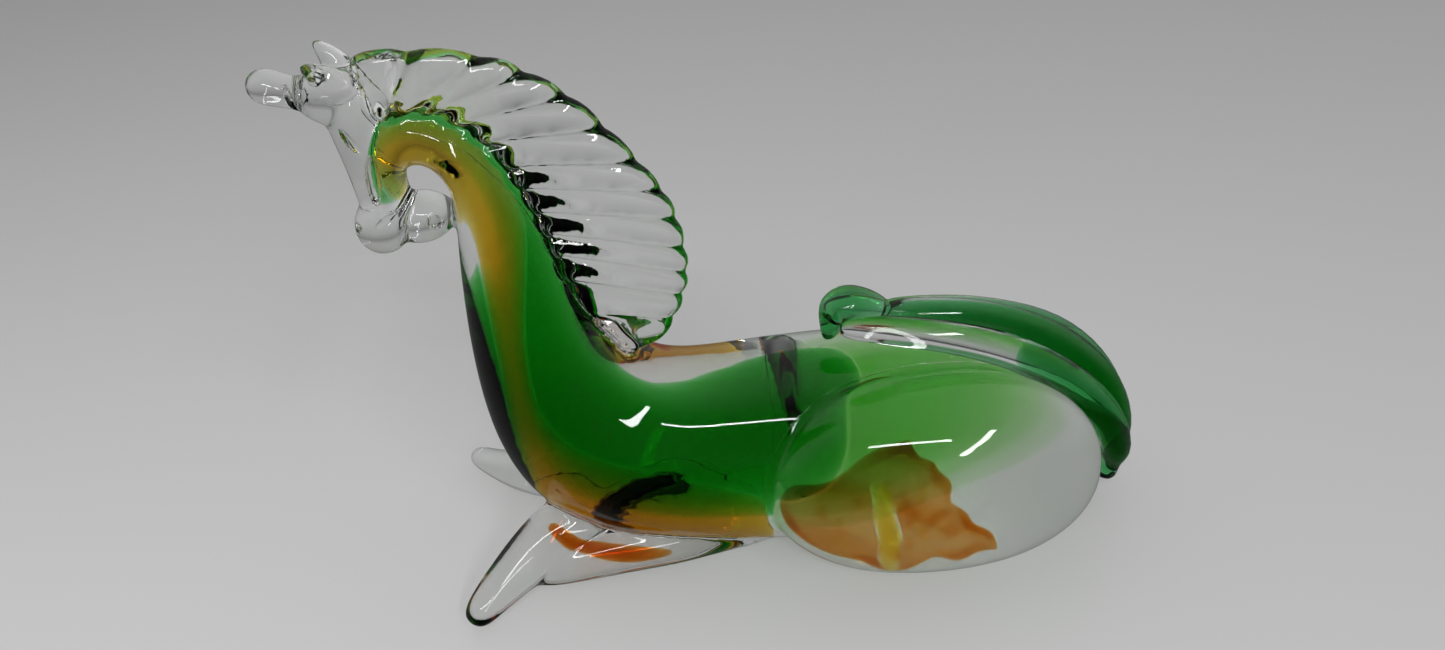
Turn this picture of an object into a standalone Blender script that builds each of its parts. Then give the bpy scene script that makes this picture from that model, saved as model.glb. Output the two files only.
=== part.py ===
"""Reclining horse in submerged crystal glass, worked hot at the furnace.

The barrel and neck are one cased gather: a clear casing round a green core, with an amber core
on the green's throat and belly side. Every other piece is a bit of glass added while hot: head,
ears, forelock, ribbed crest, forelegs, haunches and tail. Here each is a solid of its own, with
a small gap where the real glass is fused.

Frame: metres, +Z up, the horse faces -X, Y = 0 is the plane through neck and barrel, and
Z = 0 is the ground face that it rests on.
"""

import math

import bmesh
import bpy
from mathutils import Vector

# ---- driving dimensions, in metres -------------------------------------------------------
MM = 0.001
CENTRE_SHIFT = 2.35 * MM  # puts the middle of the whole length at X = 0
GAP = 0.3 * MM  # between two pieces that the furnace fuses
GROUND_CLEARANCE = 0.5 * MM  # colour stays this far above the ground face
GROUND_BLOCK = (400 * MM, 300 * MM, 80 * MM)  # the block that grinds the underside flat
MANE_ROOT_HALF = 6.0 * MM
MANE_EDGE_HALF = 2.6 * MM
MANE_GROOVE = 0.72  # share of the thickness left in a groove of the crest
CORE_SIDES = 8
CASING_SIDES = 10
ROD_SIDES = 8
EAR_SIDES = 6
EGG_SEGMENTS = 18
EGG_RINGS = 11
LUMP_SEGMENTS = 12
LUMP_RINGS = 8

# Stations of the cased gather from rump to muzzle. Each gives, in the middle plane and in
# millimetres, the belly or throat point (x, z), the back or crest point (x, z), and the
# half width there.
STATIONS = (
    (84.0, 12.0, 80.0, 30.0, 12.0),
    (74.0, 2.0, 70.0, 43.0, 21.0),
    (48.0, -2.5, 46.0, 52.0, 26.0),
    (20.0, -2.5, 20.0, 53.0, 25.0),
    (-2.0, 0.0, 0.0, 52.5, 24.0),
    (-22.0, 2.0, -13.0, 51.5, 23.0),
    (-42.0, 6.0, -21.0, 52.0, 22.5),
    (-57.0, 15.0, -27.0, 55.5, 21.0),
    (-65.0, 29.0, -33.5, 61.5, 18.0),
    (-67.5, 46.0, -38.0, 70.0, 15.5),
    (-67.5, 62.0, -41.0, 79.0, 13.5),
    (-66.5, 77.0, -43.0, 88.0, 12.0),
    (-65.0, 90.0, -45.5, 98.0, 11.0),
    (-63.5, 99.5, -50.0, 108.5, 10.0),
    (-63.8, 105.5, -57.0, 118.5, 9.0),
    (-67.0, 110.0, -67.5, 124.0, 8.0),
    (-71.5, 110.0, -77.5, 121.0, 7.5),
    (-73.5, 106.5, -81.5, 112.0, 7.0),
    (-72.8, 102.5, -81.5, 103.0, 6.5),
    (-73.5, 98.5, -79.5, 97.0, 4.5),
)
# The green core, from the fourth station to the last but one: where it starts and ends
# between throat and crest, as shares of the way, and its half width as a share of the
# casing's. It reaches the ground at its first two stations, where its cavity opens.
GREEN_SHARES = (
    (0.00, 0.93, 0.60),
    (0.00, 0.84, 0.60),
    (0.10, 0.70, 0.55),
    (0.18, 0.68, 0.55),
    (0.22, 0.72, 0.58),
    (0.25, 0.76, 0.60),
    (0.25, 0.80, 0.64),
    (0.26, 0.82, 0.66),
    (0.28, 0.84, 0.68),
    (0.30, 0.85, 0.68),
    (0.34, 0.88, 0.70),
    (0.38, 0.90, 0.72),
    (0.40, 0.92, 0.72),
    (0.40, 0.90, 0.72),
    (0.40, 0.88, 0.68),
    (0.40, 0.80, 0.50),
)
# The amber core in the same way, from the fifth station. The green is cut to make room for it.
AMBER_SHARES = (
    (0.06, 0.20, 0.40),
    (0.05, 0.26, 0.45),
    (0.05, 0.32, 0.50),
    (0.08, 0.36, 0.52),
    (0.12, 0.40, 0.50),
    (0.15, 0.42, 0.48),
    (0.17, 0.44, 0.50),
    (0.16, 0.46, 0.52),
    (0.14, 0.48, 0.54),
    (0.12, 0.52, 0.56),
    (0.10, 0.54, 0.58),
    (0.10, 0.56, 0.60),
    (0.10, 0.56, 0.60),
    (0.10, 0.56, 0.58),
    (0.20, 0.56, 0.46),
)

# ---- helpers -----------------------------------------------------------------------------
def clear_scene():
    for obj in list(bpy.data.objects):
        bpy.data.objects.remove(obj, do_unlink=True)


def make_collection(name):
    collection = bpy.data.collections.new(name)
    bpy.context.scene.collection.children.link(collection)
    return collection


def glass(name, color, roughness=0.02):
    """Fire-polished glass of one colour."""
    material = bpy.data.materials.new(name)
    material.use_nodes = True
    shader = material.node_tree.nodes["Principled BSDF"]
    shader.inputs["Base Color"].default_value = (*color, 1.0)
    shader.inputs["Roughness"].default_value = roughness
    shader.inputs["Metallic"].default_value = 0.0
    shader.inputs["Transmission Weight"].default_value = 1.0
    shader.inputs["IOR"].default_value = 1.5
    return material


def add_object(name, bm, material, collection):
    """A smooth-shaded object from a bmesh, with its faces pointing out."""
    mesh = bpy.data.meshes.new(name)
    bmesh.ops.recalc_face_normals(bm, faces=bm.faces)
    bm.to_mesh(mesh)
    bm.free()
    obj = bpy.data.objects.new(name, mesh)
    collection.objects.link(obj)
    if material is not None:
        mesh.materials.append(material)
    mesh.shade_smooth()
    return obj


def as_cutter(obj):
    """Marks an object that only shapes others."""
    obj.hide_render = True
    obj.display_type = "WIRE"
    return obj


def subdivide(obj, levels=1):
    modifier = obj.modifiers.new("rounding", "SUBSURF")
    modifier.levels = levels
    modifier.render_levels = levels
    return obj


def cut(obj, *cutters):
    """Takes the cutters away from an object."""
    for cutter in cutters:
        modifier = obj.modifiers.new("cut " + cutter.name, "BOOLEAN")
        modifier.operation = "DIFFERENCE"
        modifier.object = cutter
    return obj


def ring(centre, first, second, first_half, second_half, sides):
    """Points of an ellipse round centre, with half axes along two directions."""
    points = []
    for step in range(sides):
        angle = 2 * math.pi * (step + 0.5) / sides
        points.append(
            centre
            + first * (first_half * math.cos(angle))
            + second * (second_half * math.sin(angle))
        )
    return points


def skin(rings):
    """Joins rings of equal count into a closed skin with a flat face at each end."""
    bm = bmesh.new()
    loops = [[bm.verts.new(point) for point in points] for points in rings]
    count = len(loops[0])
    for here, there in zip(loops, loops[1:]):
        for k in range(count):
            following = (k + 1) % count
            bm.faces.new((here[k], here[following], there[following], there[k]))
    bm.faces.new(loops[0])
    bm.faces.new(loops[-1])
    return bm


def cage_factor(sides):
    """How much larger a cage is than the round form that subdivision makes of it."""
    return 3.0 / (2.0 + math.cos(2 * math.pi / sides))


# ---- the cased gather --------------------------------------------------------------------
ACROSS = Vector((0.0, 1.0, 0.0))


def station_ring(belly, back, half_width, sides, grow):
    """The cage section at one station, square to the middle plane."""
    centre = (belly + back) / 2
    up = (back - belly).normalized()
    larger = cage_factor(sides)
    half_height = ((back - belly).length / 2 + grow) * larger
    return ring(centre, up, ACROSS, half_height, (half_width + grow) * larger, sides)


def gather_stations():
    for belly_x, belly_z, back_x, back_z, half_width in STATIONS:
        belly = Vector((belly_x, 0.0, belly_z)) * MM
        back = Vector((back_x, 0.0, back_z)) * MM
        yield belly, back, half_width * MM


def core_stations(shares):
    """A core's own stations, which end at the casing's last station but one."""
    stations = list(gather_stations())[-1 - len(shares):-1]
    for (belly, back, half_width), (start, end, share) in zip(stations, shares):
        way = back - belly
        yield belly + way * start, belly + way * end, half_width * share


def gather(name, stations, sides, material, collection, grow=0.0):
    """A tube through stations, drawn out by grow beyond its ends as well as sideways."""
    stations = list(stations)
    rings = [station_ring(*station, sides, grow) for station in stations]
    ends = []
    for last, before in ((stations[0], stations[1]), (stations[-1], stations[-2])):
        outward = ((last[0] + last[1]) - (before[0] + before[1])).normalized()
        centre = (last[0] + last[1]) / 2
        reach = min(last[2], (last[1] - last[0]).length / 2)
        tip = [
            centre + (point - centre) * 0.45 + outward * (reach * 0.55 + grow)
            for point in station_ring(*last, sides, grow)
        ]
        ends.append(tip)
    obj = add_object(name, skin([ends[0], *rings, ends[1]]), material, collection)
    return subdivide(obj)


def ground_box(name, top, collection):
    """A block whose upper face is the plane at height top, to grind a flat base."""
    bm = bmesh.new()
    bmesh.ops.create_cube(bm, size=1.0)
    size = Vector(GROUND_BLOCK)
    for vert in bm.verts:
        vert.co = Vector((vert.co.x * size.x, vert.co.y * size.y, vert.co.z * size.z))
        vert.co.z += top - size.z / 2
    return as_cutter(add_object(name, bm, None, collection))


# ---- free-form pieces along a path -------------------------------------------------------
def path_tube(name, path, sides, material, collection, grow=0.0, levels=1):
    """A tapered rod through (x, y, z, half width, half thickness), in millimetres.

    Its width lies level and its thickness is square to the path.
    """
    points = [Vector(row[:3]) * MM for row in path]
    larger = cage_factor(sides)
    rings = []
    for k, row in enumerate(path):
        ahead = points[min(k + 1, len(points) - 1)]
        behind = points[max(k - 1, 0)]
        along = (ahead - behind).normalized()
        level = Vector((along.y, -along.x, 0.0))
        level = ACROSS if level.length < 0.2 or abs(along.y) < 1e-6 else level.normalized()
        if level.y < 0:
            level = -level
        normal = level.cross(along).normalized()
        width, thickness = row[3] * MM + grow, row[4] * MM + grow
        rings.append(
            ring(points[k], level, normal, width * larger, thickness * larger, sides)
        )
    for end, inner, k in ((0, 1, 0), (-1, -2, len(points) - 1)):
        outward = (points[end] - points[inner]).normalized()
        reach = min(path[k][3], path[k][4]) * MM
        tip = [
            points[end] + (p - points[end]) * 0.45 + outward * (reach * 0.6 + grow)
            for p in rings[end]
        ]
        if end == 0:
            rings.insert(0, tip)
        else:
            rings.append(tip)
    return subdivide(add_object(name, skin(rings), material, collection), levels)


def egg(name, centre, halves, material, collection, grow=0.0, tilt=0.0, fullness=2.0,
        segments=LUMP_SEGMENTS, rings=LUMP_RINGS):
    """An ellipsoid in millimetres, turned nose-up about Y by tilt degrees.

    A fullness above 2 swells it towards the corners of its box.
    """
    bm = bmesh.new()
    bmesh.ops.create_uvsphere(bm, u_segments=segments, v_segments=rings, radius=1.0)
    half = Vector(halves) * MM + Vector((grow, grow, grow))
    turn = math.radians(tilt)
    for vert in bm.verts:
        size = sum(abs(value) ** fullness for value in vert.co) ** (1.0 / fullness)
        p = Vector((vert.co.x * half.x, vert.co.y * half.y, vert.co.z * half.z)) / size
        vert.co = Vector(
            (
                p.x * math.cos(turn) + p.z * math.sin(turn),
                p.y,
                -p.x * math.sin(turn) + p.z * math.cos(turn),
            )
        ) + Vector(centre) * MM
    return add_object(name, bm, material, collection)


# Shares of the way from root to rim, with the thickness there as a share of the taper's.
CREST_SECTION = ((0.0, 1.0), (0.35, 1.0), (0.7, 1.0), (0.93, 0.9), (1.0, 0.45))
CREST_BULGE = 1.2 * MM  # how far the rim swells out between two grooves
# Grooves of the fan, from neck (x, z) to rim (x, z), in millimetres in the middle plane.
CREST_GROOVES = (
    (-75.0, 122.0, -78.5, 133.0),
    (-70.0, 120.0, -66.5, 133.6),
    (-65.5, 118.0, -52.4, 131.1),
    (-60.0, 115.0, -44.0, 127.1),
    (-55.0, 109.5, -36.2, 121.4),
    (-51.0, 104.5, -29.3, 113.6),
    (-48.0, 98.5, -23.3, 105.1),
    (-46.0, 93.0, -18.9, 97.7),
    (-44.5, 87.5, -16.5, 90.8),
    (-43.0, 82.0, -15.5, 83.3),
    (-41.0, 76.0, -15.6, 77.0),
    (-38.0, 70.0, -16.9, 71.2),
    (-34.0, 63.5, -19.6, 65.2),
    (-30.0, 58.0, -23.1, 59.6),
)


def crest(name, material, collection, grow=0.0):
    """The pressed fan on the neck: a thin cross-section at each groove, a thick one between."""
    lines = []
    for here, after in zip(CREST_GROOVES, (*CREST_GROOVES[1:], None)):
        root, rim = Vector((here[0], 0, here[1])) * MM, Vector((here[2], 0, here[3])) * MM
        lines.append((root, rim, MANE_GROOVE))
        if after:
            root = (root + Vector((after[0], 0, after[1])) * MM) / 2
            rim = (rim + Vector((after[2], 0, after[3])) * MM) / 2
            lines.append((root, rim + (rim - root).normalized() * CREST_BULGE, 1.0))
    rings = []
    for root, rim, fullness in lines:
        side = []
        for share, thickness in CREST_SECTION:
            taper = MANE_ROOT_HALF + (MANE_EDGE_HALF - MANE_ROOT_HALF) * share
            side.append((root + (rim - root) * share, taper * thickness * fullness + grow))
        points = [place + ACROSS * half for place, half in side]
        points += [place - ACROSS * half for place, half in reversed(side)]
        rings.append(points)
    return add_object(name, skin(rings), material, collection)


# Paths in millimetres: x, y, z, half width, half thickness.
FACE = (
    (-80.0, 0.0, 129.0, 4.5, 4.0),
    (-80.5, 0.0, 124.0, 7.0, 6.2),
    (-80.0, 0.0, 117.0, 7.4, 5.5),
    (-79.5, 0.0, 110.0, 6.6, 5.0),
    (-79.5, 0.0, 103.0, 6.2, 4.6),
    (-79.0, 0.0, 97.5, 5.5, 4.6),
)
# Lumps of the head: centre, half sizes and tilt in degrees.
BROW = ((-84.4, 0.0, 125.6), (7.4, 6.8, 5.4), 25.0)
MUZZLE = ((-80.3, 0.0, 96.0), (6.2, 7.2, 6.8), 10.0)
CHIN = ((-71.5, 0.0, 96.8), (7.6, 6.6, 5.7), -8.0)
FORELOCK = (
    (-84.0, 0.0, 126.0, 4.2, 3.2),
    (-88.5, 0.0, 126.4, 4.2, 3.3),
    (-92.5, 0.0, 127.6, 4.0, 3.3),
    (-96.0, 0.0, 129.0, 4.4, 4.0),
    (-98.4, 0.0, 129.6, 3.6, 3.6),
)
LEFT_EAR = (
    (-80.0, -3.4, 128.2, 2.6, 3.4),
    (-82.8, -3.9, 131.2, 2.5, 3.0),
    (-85.0, -4.3, 132.8, 1.9, 2.2),
    (-86.6, -4.6, 133.8, 1.1, 1.2),
)
RIGHT_EAR = (
    (-80.5, 3.4, 128.8, 2.6, 3.4),
    (-82.5, 3.8, 132.0, 2.5, 3.0),
    (-84.4, 4.2, 134.4, 1.8, 2.1),
    (-85.9, 4.6, 136.0, 1.0, 1.1),
)
LEFT_SHIN = (
    (-74.0, -31.0, 3.6, 3.9, 3.4),
    (-71.0, -27.0, 5.0, 4.6, 4.6),
    (-66.5, -22.0, 6.6, 5.4, 6.0),
    (-60.5, -16.5, 9.0, 6.6, 7.6),
    (-52.5, -11.0, 12.5, 8.0, 8.5),
    (-44.0, -8.0, 14.0, 7.0, 7.0),
)
RIGHT_SHIN = (
    (-82.0, 31.5, 3.6, 3.2, 3.0),
    (-77.0, 26.5, 4.8, 3.9, 3.8),
    (-71.0, 21.0, 6.4, 4.8, 5.2),
    (-63.5, 15.5, 9.0, 6.2, 7.2),
    (-54.0, 11.0, 12.5, 7.8, 8.3),
    (-44.0, 8.0, 14.0, 7.0, 7.0),
)
FOREARM = (
    (-60.0, -18.2, 5.0, 4.6, 4.8),
    (-50.0, -16.4, 5.6, 5.8, 5.8),
    (-39.0, -14.5, 6.0, 6.0, 6.4),
    (-25.5, -13.2, 6.2, 6.0, 6.6),
    (-13.0, -10.6, 6.2, 5.8, 6.6),
    (0.0, -8.6, 6.0, 5.4, 6.0),
)
# Haunches: centre and half sizes. The right one sits a little lower.
LEFT_HAUNCH = ((39.0, -18.0, 25.0), (40.5, 19.5, 26.0))
RIGHT_HAUNCH = ((41.5, 18.0, 22.5), (38.0, 19.5, 24.0))
HAUNCH_OPTIONS = {"fullness": 2.2, "segments": EGG_SEGMENTS, "rings": EGG_RINGS}
# The canes of the tail start under the curl and end beside each other near the ground.
TAIL_LEFT = (
    (21.0, -5.0, 60.4, 3.2, 3.2),
    (34.0, -6.3, 58.8, 3.6, 3.8),
    (48.0, -7.0, 55.6, 3.8, 4.2),
    (62.0, -7.6, 50.2, 4.0, 4.5),
    (76.0, -8.0, 40.4, 4.2, 4.8),
    (86.0, -7.6, 27.0, 4.4, 4.9),
    (90.0, -6.0, 14.8, 4.6, 4.9),
    (88.0, -4.0, 8.6, 4.2, 4.2),
)
TAIL_MIDDLE = (
    (30.0, 0.2, 61.0, 3.4, 2.8),
    (46.0, 0.6, 58.6, 4.2, 3.6),
    (62.0, 0.9, 54.0, 4.6, 4.2),
    (77.0, 1.0, 44.8, 4.8, 4.8),
    (87.5, 1.0, 31.5, 4.7, 4.9),
    (91.5, 1.0, 18.0, 4.6, 4.8),
    (89.5, 1.2, 9.5, 4.0, 4.0),
)
TAIL_RIGHT = (
    (33.0, 6.0, 57.8, 3.0, 2.6),
    (48.0, 7.2, 55.6, 3.8, 3.2),
    (61.0, 8.0, 51.8, 4.2, 3.9),
    (75.0, 8.4, 45.6, 4.6, 4.4),
    (85.5, 8.4, 35.0, 4.6, 4.6),
    (92.0, 8.0, 22.5, 4.4, 4.6),
    (92.5, 6.8, 13.0, 4.2, 4.4),
    (89.0, 5.0, 8.0, 3.6, 3.6),
)
TAIL_CURL = (
    (30.5, -1.6, 62.6, 3.0, 2.2),
    (26.5, -2.2, 65.0, 4.2, 3.4),
    (20.8, -3.0, 66.6, 5.6, 4.6),
    (16.4, -3.4, 63.6, 5.0, 3.2),
    (17.4, -4.0, 59.2, 4.2, 2.6),
)
# Amber stains, in the joint between an added piece and the barrel.
LEG_AMBER = (
    (-54.0, -12.0, 13.5, 2.2, 2.8),
    (-48.0, -12.6, 11.8, 2.8, 3.2),
    (-41.0, -13.0, 9.4, 2.8, 3.0),
    (-33.0, -12.4, 6.8, 2.0, 2.2),
)
LEFT_STAIN = ((26.0, -25.0, 23.0), (22.5, 4.0, 13.5))
RIGHT_STAIN = ((30.0, 23.5, 9.0), (9.0, 3.0, 5.0))


def mirrored(path):
    """The same path on the right side of the horse."""
    return tuple((row[0], -row[1], *row[2:]) for row in path)


def join(obj, *others):
    """Makes one body of an object and its additions, which stay as hidden shapes."""
    for other in others:
        modifier = obj.modifiers.new("join " + other.name, "BOOLEAN")
        modifier.operation = "UNION"
        modifier.object = as_cutter(other)
    return obj


# ---- assembly ----------------------------------------------------------------------------
def main():
    clear_scene()
    parts = make_collection("crystal_horse")
    cutters = make_collection("cutters")
    clear = glass("clear_crystal", (0.93, 0.95, 0.94))
    green = glass("green_glass", (0.02, 0.38, 0.12))
    amber = glass("amber_glass", (0.80, 0.30, 0.03))
    tail_glass = glass("tail_green", (0.05, 0.42, 0.20))

    ground = ground_box("ground", 0.0, cutters)
    ground_inside = ground_box("ground_inside", GROUND_CLEARANCE, cutters)

    def room(maker, name, *shape, **options):
        """A hidden copy of a piece, larger all round by the gap, to cut its neighbours."""
        return as_cutter(maker(name + "_room", *shape, None, cutters, GAP, **options))

    # The cased gather: clear casing, green core, amber core.
    green_form = list(core_stations(GREEN_SHARES))
    amber_form = list(core_stations(AMBER_SHARES))
    casing = gather("crystal_casing", gather_stations(), CASING_SIDES, clear, parts)
    casing_room = room(gather, "crystal_casing", gather_stations(), CASING_SIDES)
    green_room = room(gather, "green_core", green_form, CORE_SIDES)
    amber_room = room(gather, "amber_core", amber_form, CORE_SIDES)
    cut(casing, green_room, amber_room, ground)
    cut(gather("green_core", green_form, CORE_SIDES, green, parts), amber_room, ground_inside)
    cut(gather("amber_core", amber_form, CORE_SIDES, amber, parts), ground_inside)

    # The head, drawn down over the end of the neck.
    def head_form(name, material, collection, grow=0.0):
        form = path_tube(name, FACE, ROD_SIDES, material, collection, grow)
        lumps = [
            egg(name + "_lump", centre, halves, None, cutters, grow, tilt=tilt)
            for centre, halves, tilt in (BROW, MUZZLE, CHIN)
        ]
        return join(form, *lumps)

    cut(head_form("head", clear, parts), casing_room)
    head_room = room(head_form, "head")
    cut(crest("mane_crest", clear, parts), casing_room, head_room)
    mane_room = room(crest, "mane_crest")
    cut(path_tube("forelock", FORELOCK, ROD_SIDES, clear, parts), head_room)
    for name, path in (("left_ear", LEFT_EAR), ("right_ear", RIGHT_EAR)):
        cut(path_tube(name, path, EAR_SIDES, clear, parts), head_room, mane_room)

    # Haunches and forelegs on both sides of the barrel, with amber trapped in the joint.
    rear_rooms = [casing_room]
    for side, haunch_form, stain_form, shin, forearm, leg_stain in (
        ("left", LEFT_HAUNCH, LEFT_STAIN, LEFT_SHIN, FOREARM, LEG_AMBER),
        ("right", RIGHT_HAUNCH, RIGHT_STAIN, RIGHT_SHIN, mirrored(FOREARM), mirrored(LEG_AMBER)),
    ):
        cut(egg(side + "_haunch_amber", *stain_form, amber, parts), casing_room)
        stain_room = room(egg, side + "_haunch_amber", *stain_form)
        haunch = egg(side + "_haunch", *haunch_form, clear, parts, **HAUNCH_OPTIONS)
        cut(haunch, casing_room, stain_room, ground)
        rear_rooms.append(room(egg, side + "_haunch", *haunch_form, **HAUNCH_OPTIONS))

        cut(path_tube(side + "_foreleg_amber", leg_stain, ROD_SIDES, amber, parts), casing_room)
        streak_room = room(path_tube, side + "_foreleg_amber", leg_stain, ROD_SIDES)
        foreleg = path_tube(side + "_foreleg", shin, ROD_SIDES, clear, parts)
        join(foreleg, path_tube(side + "_forearm", forearm, ROD_SIDES, None, cutters))
        cut(foreleg, casing_room, streak_room, ground)

    # The tail: three canes laid side by side over the rump, and the turned-up end.
    for name, path in (
        ("tail_middle_strand", TAIL_MIDDLE),
        ("tail_left_strand", TAIL_LEFT),
        ("tail_right_strand", TAIL_RIGHT),
        ("tail_curl", TAIL_CURL),
    ):
        cut(path_tube(name, path, ROD_SIDES, tail_glass, parts), *rear_rooms)
        rear_rooms.append(room(path_tube, name, path, ROD_SIDES))

    for obj in bpy.data.objects:
        obj.location.x = CENTRE_SHIFT


main()
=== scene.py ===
"""Looks of the reclining glass horse: fused clear crystal, colour cores and a green tail."""

import math

import bmesh
import bpy
from mathutils import Matrix, Vector


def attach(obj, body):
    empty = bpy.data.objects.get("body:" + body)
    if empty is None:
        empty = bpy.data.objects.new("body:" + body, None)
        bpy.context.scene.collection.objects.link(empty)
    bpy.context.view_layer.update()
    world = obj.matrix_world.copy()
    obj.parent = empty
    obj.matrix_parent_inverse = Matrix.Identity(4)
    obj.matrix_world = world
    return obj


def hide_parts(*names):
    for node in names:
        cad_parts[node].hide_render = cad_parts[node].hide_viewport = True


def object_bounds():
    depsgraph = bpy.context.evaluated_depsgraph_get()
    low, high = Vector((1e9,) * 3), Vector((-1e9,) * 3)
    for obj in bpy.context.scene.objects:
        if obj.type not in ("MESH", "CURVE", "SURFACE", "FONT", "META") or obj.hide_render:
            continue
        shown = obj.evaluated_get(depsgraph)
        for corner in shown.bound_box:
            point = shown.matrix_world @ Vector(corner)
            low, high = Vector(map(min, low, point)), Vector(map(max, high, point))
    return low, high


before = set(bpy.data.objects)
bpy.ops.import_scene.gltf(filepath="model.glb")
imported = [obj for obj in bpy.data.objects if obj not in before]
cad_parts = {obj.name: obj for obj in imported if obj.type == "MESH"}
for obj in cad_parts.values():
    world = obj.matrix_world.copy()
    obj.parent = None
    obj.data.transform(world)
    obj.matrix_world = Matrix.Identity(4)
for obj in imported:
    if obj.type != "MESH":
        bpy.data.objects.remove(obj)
cad_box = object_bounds()

# ---- sizes, in millimetres, tied to the frame --------------------------------------------
DESIGN_LENGTH = 196.2  # length that the tables below were drawn for
UNIT = (cad_box[1][0] - cad_box[0][0]) / DESIGN_LENGTH  # metres in one drawn millimetre
MIDDLE = (cad_box[0][0] + cad_box[1][0]) / 2 + 2.35 * UNIT  # X of the drawing's origin
FLOOR = cad_box[0][2]
VOXEL = 0.55 * UNIT  # grid on which the clear glass melts together
MELT_ROUNDS = 24  # smoothing rounds after the melt

ACROSS = Vector((0.0, 1.0, 0.0))

# Stations of the cased gather from rump to muzzle: belly (x, z), back (x, z), half width.
STATIONS = (
    (84.0, 12.0, 80.0, 30.0, 12.0),
    (74.0, 2.0, 70.0, 43.0, 21.0),
    (48.0, -2.5, 46.0, 52.0, 26.0),
    (20.0, -2.5, 20.0, 53.0, 25.0),
    (-2.0, 0.0, 0.0, 52.5, 24.0),
    (-22.0, 2.0, -13.0, 51.5, 23.0),
    (-42.0, 6.0, -21.0, 52.0, 22.5),
    (-57.0, 15.0, -27.0, 55.5, 21.0),
    (-65.0, 29.0, -33.5, 61.5, 18.0),
    (-67.5, 46.0, -38.0, 70.0, 15.5),
    (-67.5, 62.0, -41.0, 79.0, 13.5),
    (-66.5, 77.0, -43.0, 88.0, 12.0),
    (-65.0, 90.0, -45.5, 98.0, 11.0),
    (-63.5, 99.5, -50.0, 108.5, 10.0),
    (-63.8, 105.5, -57.0, 118.5, 9.0),
    (-67.0, 110.0, -67.5, 124.0, 8.0),
    (-71.5, 110.0, -77.5, 121.0, 7.5),
    (-73.5, 106.5, -81.5, 112.0, 7.0),
    (-72.8, 102.5, -81.5, 103.0, 6.5),
    (-73.5, 98.5, -79.5, 97.0, 4.5),
)
# Colour in the gather, from the fourth station (green) and the fifth (amber) to the last but one:
# start and end between throat and crest, as shares of the way, and half width as a share of the
# casing's. Amber lies on the throat and belly side, and green takes the rest.
GREEN_SHARES = (
    (0.26, 0.92, 0.40),
    (0.22, 0.84, 0.46),
    (0.20, 0.70, 0.52),
    (0.20, 0.68, 0.55),
    (0.16, 0.72, 0.60),
    (0.05, 0.76, 0.66),
    (0.04, 0.80, 0.70),
    (0.07, 0.82, 0.72),
    (0.30, 0.84, 0.70),
    (0.38, 0.86, 0.70),
    (0.40, 0.88, 0.70),
    (0.40, 0.90, 0.72),
    (0.40, 0.90, 0.72),
    (0.40, 0.88, 0.70),
    (0.40, 0.86, 0.66),
    (0.40, 0.80, 0.50),
)
AMBER_SHARES = (
    (0.06, 0.28, 0.30),
    (0.05, 0.28, 0.46),
    (0.05, 0.34, 0.50),
    (0.10, 0.36, 0.48),
    (0.24, 0.38, 0.46),
    (0.32, 0.44, 0.48),
    (0.33, 0.50, 0.52),
    (0.33, 0.58, 0.58),
    (0.34, 0.62, 0.60),
    (0.30, 0.64, 0.62),
    (0.18, 0.64, 0.66),
    (0.14, 0.66, 0.68),
    (0.12, 0.66, 0.68),
    (0.12, 0.62, 0.64),
    (0.20, 0.56, 0.46),
)
# The green thins out to a pale lobe in the rump, from the second station to the fifth.
PALE_SHARES = (
    (0.44, 0.80, 0.20),
    (0.34, 0.88, 0.40),
    (0.18, 0.93, 0.50),
    (0.22, 0.82, 0.40),
)

# Paths: x, y, z, half width, half thickness.
FACE = (
    (-80.0, 0.0, 129.0, 4.5, 4.0),
    (-80.5, 0.0, 124.0, 7.0, 6.2),
    (-80.0, 0.0, 117.0, 7.4, 5.5),
    (-79.5, 0.0, 110.0, 6.6, 5.0),
    (-79.5, 0.0, 103.0, 6.2, 4.6),
    (-79.0, 0.0, 97.5, 5.5, 4.6),
)
# Lumps of the head: centre, half sizes and tilt in degrees.
BROW = ((-84.4, 0.0, 125.6), (7.4, 6.8, 5.4), 25.0)
MUZZLE = ((-80.3, 0.0, 96.0), (6.2, 7.2, 6.8), 10.0)
CHIN = ((-71.5, 0.0, 96.8), (7.6, 6.6, 5.7), -8.0)
# Dents pressed in the head on both sides: centre, half sizes and tilt.
HEAD_DENTS = (
    ((-86.0, -7.0, 122.5), (2.2, 1.6, 1.3), 35.0),
    ((-80.5, -7.6, 118.5), (4.6, 1.3, 1.0), 62.0),
    ((-78.0, -6.2, 109.0), (1.4, 1.5, 6.0), 8.0),
    ((-84.6, -4.6, 97.6), (1.5, 1.3, 1.2), 20.0),
    ((-75.6, -5.6, 93.6), (1.0, 2.6, 5.0), 24.0),
    ((-77.6, -6.0, 99.4), (3.2, 1.6, 0.9), -30.0),
    ((-67.4, -5.6, 97.6), (2.0, 1.8, 1.6), 30.0),
    ((-88.4, -3.2, 128.0), (0.8, 2.6, 3.2), 10.0),
    ((-91.0, -3.4, 127.0), (0.7, 2.2, 3.4), -12.0),
)
FORELOCK = (
    (-84.0, 0.0, 126.0, 4.2, 3.2),
    (-88.5, 0.0, 126.4, 4.2, 3.3),
    (-92.5, 0.0, 127.6, 4.0, 3.3),
    (-96.0, 0.0, 129.0, 4.4, 4.0),
    (-98.4, 0.0, 129.6, 3.6, 3.6),
)
LEFT_EAR = (
    (-80.0, -3.4, 128.2, 2.6, 3.4),
    (-82.8, -3.9, 131.2, 2.5, 3.0),
    (-85.0, -4.3, 132.8, 1.9, 2.2),
    (-86.6, -4.6, 133.8, 1.1, 1.2),
)
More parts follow.
